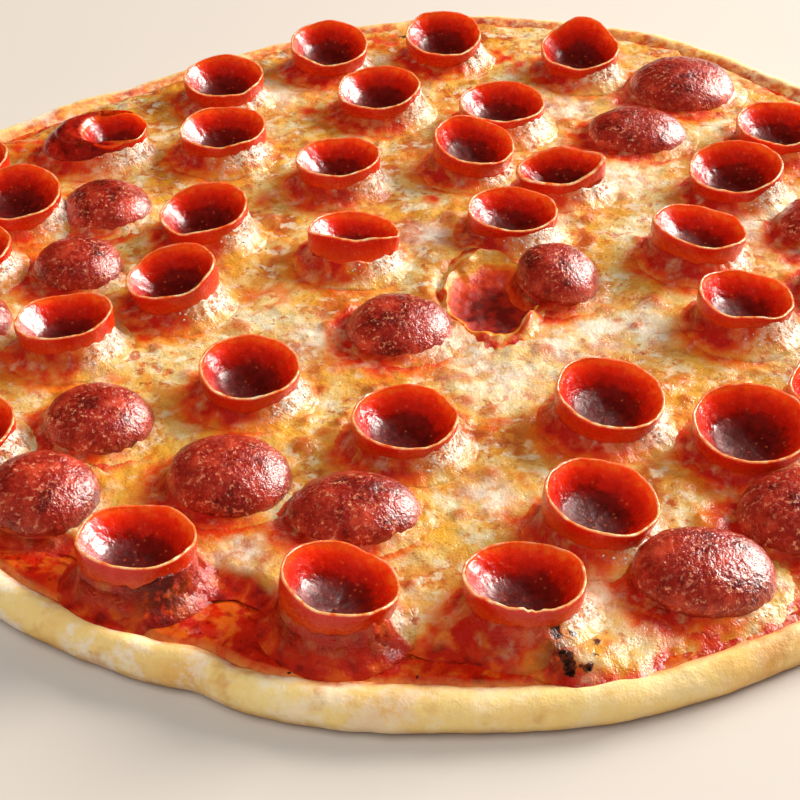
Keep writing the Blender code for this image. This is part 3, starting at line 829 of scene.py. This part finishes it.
sauceShape = {
    "rows": 46, "underCheese": 3.5, "outerWave": (7, 0.9), "bumps": (5, 0.30), "grain": (1.9, 0.12),
    "scorched": (-69, -143, 7.5), "floor": 4.7, "underTop": 6.2, "bareDough": 4.5,
}


def spokeRadius(points, pick):
    return np.array([pick(outwards(spoke)) for spoke in bySpoke(points)])


def radiusAt(spokes, angle):
    fine = evenRound(spokes, roundCount)
    turns = np.mod(angle, 2 * pi) * roundCount / (2 * pi)
    return np.interp(turns, np.arange(roundCount + 1), np.append(fine, fine[0]))


def buildSauce(cheeseRadius, crustSurface):
    shape = sauceShape
    angle = anglesRound(roundCount)
    inner = evenRound(cheeseRadius, roundCount) - shape["underCheese"]
    outer = evenRound(spokeRadius(cadPoints("sauce"), np.max), roundCount)
    ring = polar(outer, angle, 0.0)
    size, height = shape["outerWave"]
    outer = outer + height * softNoise(ring, size, 31) - 0.2
    share = np.linspace(1, 0, shape["rows"])[:, None]
    radius = inner + (outer - inner) * share
    top = polar(radius, angle, 0.0)
    crust = heightsOver(crustSurface, top, shape["bareDough"])
    cad = heightsOver(cadSurface("sauce"), top)
    cad = np.where(cad > 0, cad, crust)
    for _ in range(3):
        cad[1:-1] = (cad[:-2] + cad[1:-1] + cad[2:]) / 3
        cad = (np.roll(cad, 1, axis=1) + cad + np.roll(cad, -1, axis=1)) / 3
    edge = between((outer - radius), 0.0, 2.2)
    for size, height in (shape["bumps"], shape["grain"]):
        cad = cad + height * softNoise(top, size, 33 + int(size)) * edge
    top[..., 2] = np.where(edge < 1, (crust - 0.25) * (1 - edge) + cad * edge, cad)
    x, y, reach = shape["scorched"]
    away = np.hypot(top[..., 0] - pizzaCentre[0] - x, top[..., 1] - pizzaCentre[1] - y)
    shown = {"scorch": 0.8 * bell(away, reach), "rim": 1 - between(outer - radius, 0.3, 2.6),
             "strew": between(edge, 0.3, 1.0)}
    under = np.stack([polar(outer - 0.6, angle, crust[0] - 0.6), top[0]])
    rings = np.concatenate([polar(outer - 3.5, angle, shape["floor"])[None], under[:1], top])
    masks = {name: np.concatenate([0 * values[:2], values]) for name, values in shown.items()}
    low, high = pizzaCentre + (0, 0, shape["floor"]), pizzaCentre + (0, 0, shape["underTop"])
    sauce = closedSkin("sauce_layer", rings, low, high, tomatoSauce(), masks)
    deliver(sauce, "sauce", "sauce")
    return sauce


# Cheese

cheeseShape = {
    "side": 304,                    # points along each side of the grid that is squeezed onto the disc
    "edgeWave": ((9, 1.1), (3.6, 0.6)), "edgeInset": 0.8,
    "edgeSink": (0.5, 0.8, 6.0),    # how far the outer edge sinks under the sauce, and where the sheet rises
    # direction, half width, how much further out
    "spills": ((90, 82, 9.5), (-79.5, 5.0, 7.0), (-75.5, 2.4, 4.0), (-66, 16, 4.5)),
    "relief": ((11, 0.5), (5.2, 0.42), (2.6, 0.34)),
    "usual": 8.5,                   # its height where no CAD is found
    "pocketFill": 2.8, "pocketTop": 9.9,    # how far outside a slice its pocket is filled, and to where
    "under": 7.1,                   # height of the sheet under a slice
    "blisters": 420, "blisterReach": (1.6, 4.2), "blisterHeight": (0.35, 1.15), "blisteredTo": 165,
    "oilLevel": 9.5,
    "crater": (17.5, -15.0, 13.0, 21.5), "craterFloor": 6.95,
    "blister": (-91, -132, 8.0, 7.0, 2.2),
    "bubble": (29, -160, 12.0, 9.0, 3.2),   # the charred one at the near edge: place, half sizes and height
    "bareSauce": (-112, 24, 21, 12.4),      # direction, half width, how much further in, and the usual inset
    "sauceTop": 7.9, "floor": 6.7,
    "lowestGround": 6.9, "usualGround": 7.6, "edgeWidth": 11,
    "skirt": ((0.55, 0.12), (0.9, 0.38), (0.9, 0.7), (0.5, 1.0)),   # how far out, and share of the way down
}
cheesePatches = {       # place, half width, and strength where it isn't 1
    "scorch": ((-63, -141, 8), (25.6, -160.8, 4.6, 0.8)),
    "toast": ((-91, -132, 7, 0.85), (-118, -6, 7, 0.85), (23, -163, 6, 0.85), (38, -158, 3, 0.85)),
    "char": ((25.3, -156.9, 2.0), (29.4, -156.4, 1.5), (34.4, -157.2, 1.6), (31.4, -164.1, 1.6),
             (27.2, -162.2, 1.9), (28.3, -164.2, 2.4), (33.2, -161.5, 1.3), (-7, 160, 2.8), (31.7, 176, 4.2)),
    "oil": ((-113, -39, 12, 0.9), (-86, -53, 7, 0.5), (-78, -30, 9, 0.9), (-46, -14, 9, 0.7),
            (-34, 49, 9, 0.9), (-49, 42, 7, 0.6), (-39, 100, 7, 0.8), (-2, 68, 8, 0.6), (4, 42, 8, 0.7),
            (10, 96, 8, 0.7), (17, -76, 7, 0.6), (23, -97, 6, 0.5), (37, 133, 9, 0.8), (27, 141, 9, 0.9),
            (72, -5, 8, 0.7), (73, -40, 6, 0.6), (46, -93, 8, 0.7), (99, 102, 9, 0.7), (44, 42, 7, 0.6),
            (-129, 75, 13, 0.9), (-120, 2, 10, 0.9), (-65, 142, 11, 0.8), (-16, 158, 12, 0.9),
            (20, -112, 7, 0.7), (40, -127, 8, 0.8), (46, -144, 8, 0.8), (4, -153, 9, 0.9),
            (-43, -140, 8, 0.8), (-21, -96, 7, 0.7), (-63, -76, 7, 0.5), (-98, -96, 8, 0.7),
            (-86, 68, 8, 0.7), (63, -97, 7, 0.5), (60, 145, 13, 0.8), (120, 125, 13, 0.8),
            (74, 117, 11, 0.7), (14, -152, 8), (20, -156, 6), (13, -160, 8)),
    "pale": ((18, -54, 10), (60, 54, 10), (-46, -126, 6), (13, -104, 6), (47, -30, 9), (35, -38, 8),
             (10, -40, 8), (58, -30, 8), (-33, -35, 7), (0, 18, 7), (-53, 111, 8), (46, 103, 8), (97, 23, 8),
             (37, -141, 5)),
    "gold": ((-78, -100, 12), (-72, -86, 10), (-100, -49, 8), (-58, 2, 8), (-12, 89, 9), (-37, -76, 9),
             (1, -119, 8), (11, -97, 7), (65, -63, 9), (73, -47, 6), (53, 42, 8), (36, -160, 6)),
}


def discGrid(side):
    # a square grid squeezed onto the unit disc: share of the radius, and direction
    a, b = np.meshgrid(np.linspace(-1, 1, side), np.linspace(-1, 1, side))
    share = np.maximum(np.abs(a), np.abs(b))
    wide = np.abs(a) >= np.abs(b)
    with np.errstate(divide="ignore", invalid="ignore"):
        besides = pi / 4 * b / a + np.where(a < 0, pi, 0)
        angle = np.where(wide, besides, pi / 2 - pi / 4 * a / b + np.where(b < 0, pi, 0))
    return share, np.nan_to_num(angle)


def smoothed(values, rounds, where=None):
    for _ in range(rounds):
        mean = values.copy()
        mean[1:-1, 1:-1] = (values[:-2, 1:-1] + values[2:, 1:-1] + values[1:-1, :-2] + values[1:-1, 2:]
                            + values[1:-1, 1:-1]) / 5
        values = mean if where is None else np.where(where, mean, values)
    return values


def turnFrom(angle, direction):
    # degrees between an angle and a direction
    return np.abs((np.degrees(angle) - direction + 180) % 360 - 180)


def spotAt(x, y, sx, sy, halfWidth, halfDepth):
    # how far each place is from the middle of an oval spot, 1 at its edge
    return np.hypot((x - sx) / halfWidth, (y - sy) / halfDepth)


def inPlane(x, y):
    return np.stack([x, y, 0 * x], -1)


def saucedAt(x, y, crustRadius):
    # 1 where only sauce lies on the dough
    direction, halfTurn, further, inset = cheeseShape["bareSauce"]
    x, y = x - pizzaCentre[0], y - pizzaCentre[1]
    angle = np.arctan2(y, x)
    plain = radiusAt(crustRadius, angle) - inset - further * bell(turnFrom(angle, direction), halfTurn)
    plain = plain + 2.2 * softNoise(inPlane(x, y), 6, 47)
    for spillTo, halfSpill, more in cheeseShape["spills"]:
        plain = plain + more * bell(turnFrom(angle, spillTo), halfSpill)
    return between(np.hypot(x, y) - plain, -1.6, 1.8)


def patchesAt(at, patches):
    return np.max([bell(spotAt(at[..., 0], at[..., 1], px, py, reach, reach), 1.0) * (strength or [1.0])[0]
                   for px, py, reach, *strength in patches], axis=0)


def cheeseMarks(x, y, crustRadius):
    # how strongly each place in the plane is sauced, scorched, toasted, charred, oily, pale or golden
    at = inPlane(x - pizzaCentre[0], y - pizzaCentre[1])
    at = at + 0.9 * inPlane(softNoise(at, 3.0, 54), softNoise(at, 3.0, 55))
    marks = {name: patchesAt(at, patches) for name, patches in cheesePatches.items()}
    offBubble = spotAt(at[..., 0], at[..., 1], *cheeseShape["bubble"][:4])
    return {**marks, "sauced": saucedAt(x, y, crustRadius) * between(offBubble, 0.75, 1.1)}


def buildCheese(cheeseRadius, crustRadius, slices, below, finish):
    shape = cheeseShape
    side = shape["side"]
    share, angle = discGrid(side)
    outline = radiusAt(cheeseRadius, angle)
    rim = polar(outline, angle, 0.0)
    outline = outline + sum(height * softNoise(rim, size, 40) for size, height in shape["edgeWave"])
    outline = outline - shape["edgeInset"]
    cadOutline = outline
    for direction, halfTurn, further in shape["spills"]:
        outline = outline + further * bell(turnFrom(angle, direction), halfTurn)
    grid = polar(share * outline, angle, 0.0)
    x, y = grid[..., 0], grid[..., 1]

    # the CAD's top, with its pockets filled and its facets smoothed
    inwards = polar(np.minimum(share * outline, cadOutline - 1.4), angle, 0.0)
    height = heightsOver(cadSurface("cheese"), inwards, shape["usual"])
    walls = np.array([piece.wallAt(x, y, shape["oilLevel"])[0] for piece in slices])
    nearest = walls.min(axis=0)
    pocket = nearest < shape["pocketFill"]
    height = smoothed(smoothed(np.where(pocket, shape["pocketTop"], height), 160, pocket), 7)

    def spot(*place):
        return spotAt(x - pizzaCentre[0], y - pizzaCentre[1], *place)

    fromEdge = (1 - share) * outline
    marks = cheeseMarks(x, y, crustRadius)
    height += (shape["sauceTop"] - height) * marks["sauced"] * 0.8
    away = between(fromEdge, 0.0, 5.0)
    for i, (size, lift) in enumerate(shape["relief"]):
        height += lift * softNoise(grid, size, 43 + i) * (0.35 + 0.65 * away)

    # blisters, most of them toasted
    draw = np.random.default_rng(21)
    toast = np.zeros_like(x)
    for _ in range(shape["blisters"]):
        where, out = draw.uniform(0, 2 * pi), shape["blisteredTo"] * draw.uniform(0, 1) ** 0.5
        reach, lift = draw.uniform(*shape["blisterReach"]), draw.uniform(*shape["blisterHeight"])
        cap = np.clip(1 - spot(out * cos(where), out * sin(where), reach, reach) ** 2, 0, 1)
        height += lift * cap ** 0.8
        if draw.uniform() < 0.7:
            toast = np.maximum(toast, 0.9 * cap)
    height += 1.1 * marks["scorch"] * np.abs(softNoise(grid, 3.2, 48))

    # grease: in patches, beside each slice, along the edge and round the burst bubble. Beside each slice it
    # reaches furthest to the front left, where it also stands for painted shade.
    wet = softNoise(grid, 5.0, 50)
    oil = marks["oil"] * between(wet, -0.9, 0.5)
    for piece, wall in zip(slices, walls):
        middle = piece.wallAt(0, 0, shape["oilLevel"])[1]
        towards = 0.5 + 0.5 * np.cos(np.arctan2(y - middle[1], x - middle[0]) - radians(greaseAndShadeSide))
        spread = np.maximum(2.4 + 8.0 * towards ** 1.5 + 2.2 * wet, 0.6)
        oil = np.maximum(oil, bell(np.maximum(wall, 0), spread) * (0.45 + 0.55 * towards))
    oil = np.maximum(oil, 0.9 * (1 - between(fromEdge, 1.5, 8.0)) * between(wet, -0.7, 0.2))
    oil = np.maximum(oil, 0.7 * bell(spot(*shape["crater"]), 1.4) * between(wet, -0.6, 0.3))
    oil = oil * (1 - 0.8 * marks["pale"] * between(nearest, 2.0, 7.0))

    # the edge, which sinks into the sauce, and the burst bubble's hole
    ground = groundUnder(below, grid)
    ground = np.where(ground > shape["lowestGround"], ground, shape["usualGround"])
    sink, first, last = shape["edgeSink"]
    uneven = softNoise(grid, 5.5, 51) + 0.7 * softNoise(grid, 2.3, 52)
    full = between(fromEdge + uneven, first, last)
    cover = ground + (0.6 + 0.5 * np.abs(softNoise(grid, 4, 53))) * full
    risen = ground - sink + (np.maximum(height, cover) - ground + sink) * full
    height = np.where(fromEdge < shape["edgeWidth"], risen, height)
    for *place, lift in (shape["blister"], shape["bubble"]):
        height += lift * np.clip(1 - spot(*place) ** 2, 0, 1) ** 0.8
    hole = 1 - between(spot(*shape["crater"]), 0.86, 1.0)
    height += (shape["craterFloor"] - height) * hole
    masks = {**marks, "oil": oil, "toast": np.maximum(toast, marks["toast"]), "pit": hole}
    grid[..., 2] = height
    corner = np.arange((side - 1) * side).reshape(side - 1, side)[:, :-1]
    faces = np.stack([corner, corner + 1, corner + side + 1, corner + side], -1).reshape(-1, 4).tolist()
    top = BVHTree.FromPolygons([Vector(p) for p in grid.reshape(-1, 3)], faces)
    grid[..., 2] = np.where(nearest < -0.9, shape["under"], height)     # the sheet passes under the slices

    # a rounded edge down onto the sauce, and a flat underside
    n = side - 1
    rows = np.concatenate([np.zeros(n, int), np.arange(n), np.full(n, n), np.arange(n, 0, -1)])
    columns = np.concatenate([np.arange(n), np.full(n, n), np.arange(n, 0, -1), np.zeros(n, int)])
    lip = grid[rows, columns]
    out = sideways(lip - pizzaCentre)
    drop = lip[:, 2] - shape["floor"]
    skirt = [lip + out * push - np.outer(drop * down, (0, 0, 1)) for push, down in shape["skirt"]]
    points = np.concatenate([grid.reshape(-1, 3), *skirt, [pizzaCentre + (0, 0, shape["floor"])]])
    added = side * side + np.arange(len(skirt) * len(lip)).reshape(len(skirt), -1)
    upwards = np.concatenate([added[::-1], [rows * side + columns]])
    faces += upwards.ravel()[np.array(ringFaces(*upwards.shape))].tolist()
    faces += [(len(points) - 1, j, i) for i, j in zip(added[-1].tolist(), np.roll(added[-1], -1).tolist())]
    whole = {name: np.concatenate([values.ravel(), *[values[rows, columns]] * len(skirt), [0.0]])
             for name, values in masks.items()}
    cheese = makePiece("cheese_layer", points, faces, finish, whole)
    deliver(cheese, "cheese", "cheese")
    return cheese, top


collarShape = {
    "columns": 128, "columnsOnDome": 84,
    # rows, from the slice's wall outwards
    "outwards": (-0.5, 0.0, 0.2, 0.45, 0.8, 1.2, 1.7, 2.3, 3.0, 3.8, 4.8, 6.0),
    # how far the cheese climbs: at least, where it foams and where grease runs out
    "lowestClimb": 0.7, "cupFroth": 5.8, "domeFroth": 0.8, "cupGrease": 3.4, "domeGrease": 0.6,
    "unevenness": 0.8, "bubbles": 0.6, "sink": 0.35,
    "reach": (0.8, 0.9, 1.3),       # how wide its foot is: always, more with foam and more with grease
    "usualTop": 10.0, "lowestTop": 0.15, "highestTop": 0.86, "frothGlintOnDome": 0.45,
}
# the front-left side of each slice carries grease together with painted shade
greaseAndShadeSide = -122      # degrees: most of the grease runs out of the slices to the front left
# the right side of each slice carries froth together with painted white glints
frothAndGlintSide = -28        # and most of the cheese foams up at their right


def appendRings(points, faces, rings, closed):
    # adds rings of points to a growing piece, with flat ends, or closed into a ring of their own
    rows, columns = rings.shape[:2]
    start = sum(len(p) for p in points)
    faces += (np.array(ringFaces(rows, columns)) + start).tolist()
    first, last = np.arange(columns) + start, np.arange(columns) + start + (rows - 1) * columns
    if closed:
        faces += np.stack([np.roll(first, -1), first, last, np.roll(last, -1)], -1).tolist()
    else:
        faces += [first[::-1].tolist(), last.tolist()]
    points.append(rings.reshape(-1, 3))


def buildCollars(slices, surfaces, crustRadius, finish):
    # the cheese and grease that climb the wall of each slice
    shape = collarShape
    draw = np.random.default_rng(13)
    points, faces = [], []
    masks = {name: [] for name in ("frothGlint", "oil", "sauced", "char", "scorch", "toast", "pale", "gold")}
    push = np.array(shape["outwards"])[:, None]

    def nearer(first, last):
        # 1 on the rows nearer to the wall, from the lowest row up
        return np.concatenate([[0.0, 0.0], 1 - between(push[::-1, 0], first, last)])[:, None]

    for index, piece in enumerate(slices):
        kind = "cup" if piece.isCup else "dome"
        columns = shape["columns"] if piece.isCup else shape["columnsOnDome"]
        angle = anglesRound(columns)
        ring = noiseRing(angle, 37.0 * index)
        # how much each direction faces the right side, with froth and painted glints
        towardsFrothGlint = (0.5 + 0.5 * np.cos(angle - radians(frothAndGlintSide + draw.uniform(-18, 18)))) ** 4
        # and the front-left side, with grease and painted shade
        towardsGreaseShade = 0.5 + 0.5 * np.cos(angle - radians(greaseAndShadeSide))
        climb = shape["lowestClimb"] + shape[kind + "Froth"] * draw.uniform(0.4, 1.0) * towardsFrothGlint
        climb = climb + shape[kind + "Grease"] * towardsGreaseShade ** 2
        ragged = softNoise(ring, 7, 60) + 0.9 * softNoise(ring, 2.6, 61)
        climb = climb + shape["unevenness"] * ragged * (0.5 + towardsFrothGlint)
        level = (shape["usualTop"] + climb - piece.base[2]) / piece.height
        wall = piece.wallPoints(angle, np.clip(level, shape["lowestTop"], shape["highestTop"]))
        out = sideways(wall - wall.mean(axis=0))
        rings = wall + out * push[..., None]
        ground = groundUnder(surfaces, rings)
        always, withFoam, withGrease = shape["reach"]
        reach = always + withFoam * towardsFrothGlint + withGrease * towardsGreaseShade ** 2 * piece.isCup
        rise = np.maximum(wall[:, 2] - ground, 0.2) * np.exp(-np.maximum(push, 0) / reach)
        bubbles = shape["bubbles"] * (0.3 + towardsFrothGlint) * between(push, 0.0, 0.9) * (1 - between(push, 2.8, 4.8))
        bubbly = np.abs(softNoise(rings, 1.9, 62)) + 0.3 * softNoise(rings, 1.2, 63)
        rings[..., 2] = ground + rise + bubbles * bubbly
        rings[..., 2] -= shape["sink"] * between(push, 3.2, 6.0)
        low = rings[-1] - (0, 0, 1.2)
        rings = np.concatenate([[low - out * 2.0, low], rings[::-1]])
        appendRings(points, faces, rings, True)

        marks = cheeseMarks(rings[..., 0], rings[..., 1], crustRadius)
        # froth, whose cream and white also stand in for painted glints
        frothGlint = np.clip(1.6 * towardsFrothGlint - 0.2, 0, 1) * nearer(1.4, 3.9) * between(climb, 0.6, 1.6)
        frothGlint = frothGlint * (1 if piece.isCup else shape["frothGlintOnDome"]) * (1 - 0.9 * marks["sauced"])
        frothGlint = frothGlint * (1 - np.clip(marks["char"] + marks["scorch"], 0, 1))
        marks["frothGlint"] = np.where(frothGlint < 0.3, 0.6 * frothGlint, frothGlint)
        nearWall = nearer(1.6, 5.0)
        # grease, which on the front-left side also stands in for painted shade
        grease = (0.35 + 0.75 * towardsGreaseShade ** 0.6) * (1 - 0.8 * towardsFrothGlint) * (0.9 + 0.3 * softNoise(rings, 4, 64))
        oil = np.maximum(grease * (0.62 + 0.38 * nearWall), marks["oil"] * (1 - towardsFrothGlint))
        marks["oil"] = np.maximum(oil, 0.85 * marks["sauced"])
        marks["sauced"] = marks["sauced"] * (1 - 0.6 * nearWall * towardsGreaseShade)
        for name, parts in masks.items():
            parts.append(marks[name].ravel())
    whole = {name: np.concatenate(parts) for name, parts in masks.items()}
    collars = makePiece("cheese_collars", np.concatenate(points), faces, finish, whole)
    deliver(collars, "cheese")
    return collars


# the burst bubble: a deep hollow with a torn skin of cheese round it
craterShape = {
    "columns": 220, "rows": 64, "bottom": 6.75, "floor": 7.3, "lumps": (6, 1.1), "rim": 10.2,
    # shares of its half width, and of the height of the rim
    "profile": ((0.04, 0.0), (0.30, 0.0), (0.52, 0.02), (0.68, 0.12), (0.80, 0.42), (0.87, 0.80),
                (0.915, 1.0), (0.96, 1.0), (1.02, 0.86), (1.10, 0.50), (1.20, 0.18), (1.34, 0.0)),
    # direction, half width and height of the crests
    "crests": ((104, 40, 4.2), (-42, 16, 4.0), (175, 30, 1.0), (-100, 30, 0.5)),
    "wander": ((10, 2.6), (3.6, 0.8)), "relief": (2.6, 0.35), "crestRow": 40,
}


def buildCrater(surfaces, finish):
    shape = craterShape
    cx, cy, halfWidth, halfDepth = cheeseShape["crater"]
    angle = anglesRound(shape["columns"])
    profile = evenAlong(np.array(shape["profile"]), shape["rows"])
    share, level = profile[:, :1], profile[:, 1:]
    flat = np.stack([halfWidth * np.cos(angle), halfDepth * np.sin(angle)], -1)
    rings = inPlane(*(share * flat[:, k] + (cx, cy)[k] for k in (0, 1))) + pizzaCentre
    wander = sum(height * softNoise(rings, size, 80) for size, height in shape["wander"])
    unit = flat / np.hypot(*flat.T)[:, None]
    rings[..., :2] += unit * (wander * between(share, 0.4, 0.8))[..., None]
    crest = shape["rim"] + sum(lift * bell(turnFrom(angle, direction), halfTurn)
                               for direction, halfTurn, lift in shape["crests"])
    crest = crest + 0.5 * softNoise(rings[shape["crestRow"]], 5, 81)
    size, lump = shape["lumps"]
    floor = shape["floor"] + lump * np.abs(softNoise(rings, size, 82)) * (1 - between(share, 0.5, 0.9))
    base = np.where(share < 0.94, floor, groundUnder(surfaces, rings) - 0.5)
    rings[..., 2] = base + np.maximum(crest - base, 0) * level
    size, lift = shape["relief"]
    relief = lift * softNoise(rings, size, 83) * between(share, 0.1, 0.5)
    rings = rings + ringNormals(rings[:, ::-1])[:, ::-1] * relief[..., None]
    low = rings[-1] - (0, 0, 1.0)
    bottom = low * (0.5, 0.5, 0) + rings[0] * (0.5, 0.5, 0) + (0, 0, shape["bottom"])
    outline = np.concatenate([rings, [low, bottom]])
    height = np.concatenate([rings[..., 2], [low[:, 2], low[:, 2]]])
    inner = np.concatenate([1 - between(share, 0.86, 0.98), [[0.0], [0.0]]])

    # the pit is reddest low down, at the front and at the right, where its deepest red is partly painted
    # shade in the hollow
    up = between(height, 8.0, 14.5)
    back = between((outline[..., 1] - pizzaCentre[1] - cy) / halfDepth, 0.0, 1.0)
    left = between((pizzaCentre[0] + cx - outline[..., 0]) / halfWidth, 0.0, 1.0)
    patchy = 0.16 * softNoise(outline, 7, 85)
    pit = inner * np.clip(1.0 - up - 0.55 * back - 0.25 * left + patchy, 0.12, 1)
    oil = (1 - inner) * np.clip(0.5 + 0.8 * softNoise(outline, 6, 84), 0, 1)
    points, faces = [], []
    appendRings(points, faces, outline[::-1], False)
    crater = makePiece("burst_bubble", points[0], faces, finish, {"pit": pit[::-1], "oil": oil[::-1]})
    deliver(crater, "cheese")


# The pizza

makeCamera()
makeStudio()
print("camera and studio ready")

crust = buildCrust()
print("crust ready")

cheeseFinish = meltedCheese()
crustRadius = spokeRadius(cadPoints("crust"), np.max)
bottomRing = cadPoints("cheese")
cheeseRadius = spokeRadius(bottomRing[bottomRing[:, 2] < 6.65], np.max)
sauce = buildSauce(cheeseRadius, pieceSurface(crust))
print("sauce ready")

slices = [CadSlice(name) for name in cupNames + domeNames]
below = [pieceSurface(crust), pieceSurface(sauce)]
cheese, cheeseTop = buildCheese(cheeseRadius, crustRadius, slices, below, cheeseFinish)
collars = buildCollars(slices, [cheeseTop, *below], crustRadius, cheeseFinish)
buildCrater([cheeseTop], cheeseFinish)
print("cheese ready")

relief = reliefTree()
curled, domed = curledPepperoni(), domedPepperoni()
for index, piece in enumerate(slices):
    if piece.isCup:
        curledSlice(piece, index, curled, relief)
    else:
        domedSlice(piece, index, domed, relief)
print("pepperoni ready")

strewn = scatterTree()
fleck = plainFinish("driedHerb", (84, 30, 14), 0.5)
flecks = strewOver(sauce, "herb_flecks", strewn, Mask="strew", Density=7000.0, Smallest=0.0002,
                   Largest=0.0004, Flatness=0.4, Stretch=1.6, Detail=1, Seed=3, Material=fleck)
deliver(flecks, "sauce")
# pale glossy beads of froth, which also stand in for painted white glints
frothGlint = plainFinish("cheeseFrothGlints", (248, 232, 212), 0.25, coat=0.4)
beads = strewOver(collars, "cheese_froth_glints", strewn, Mask="frothGlint", Density=300000.0, Smallest=0.00015,
                  Largest=0.00042, Flatness=0.7, Stretch=1.3, Detail=1, Seed=5, Material=frothGlint)
deliver(beads, "cheese")
print("flecks and froth ready")
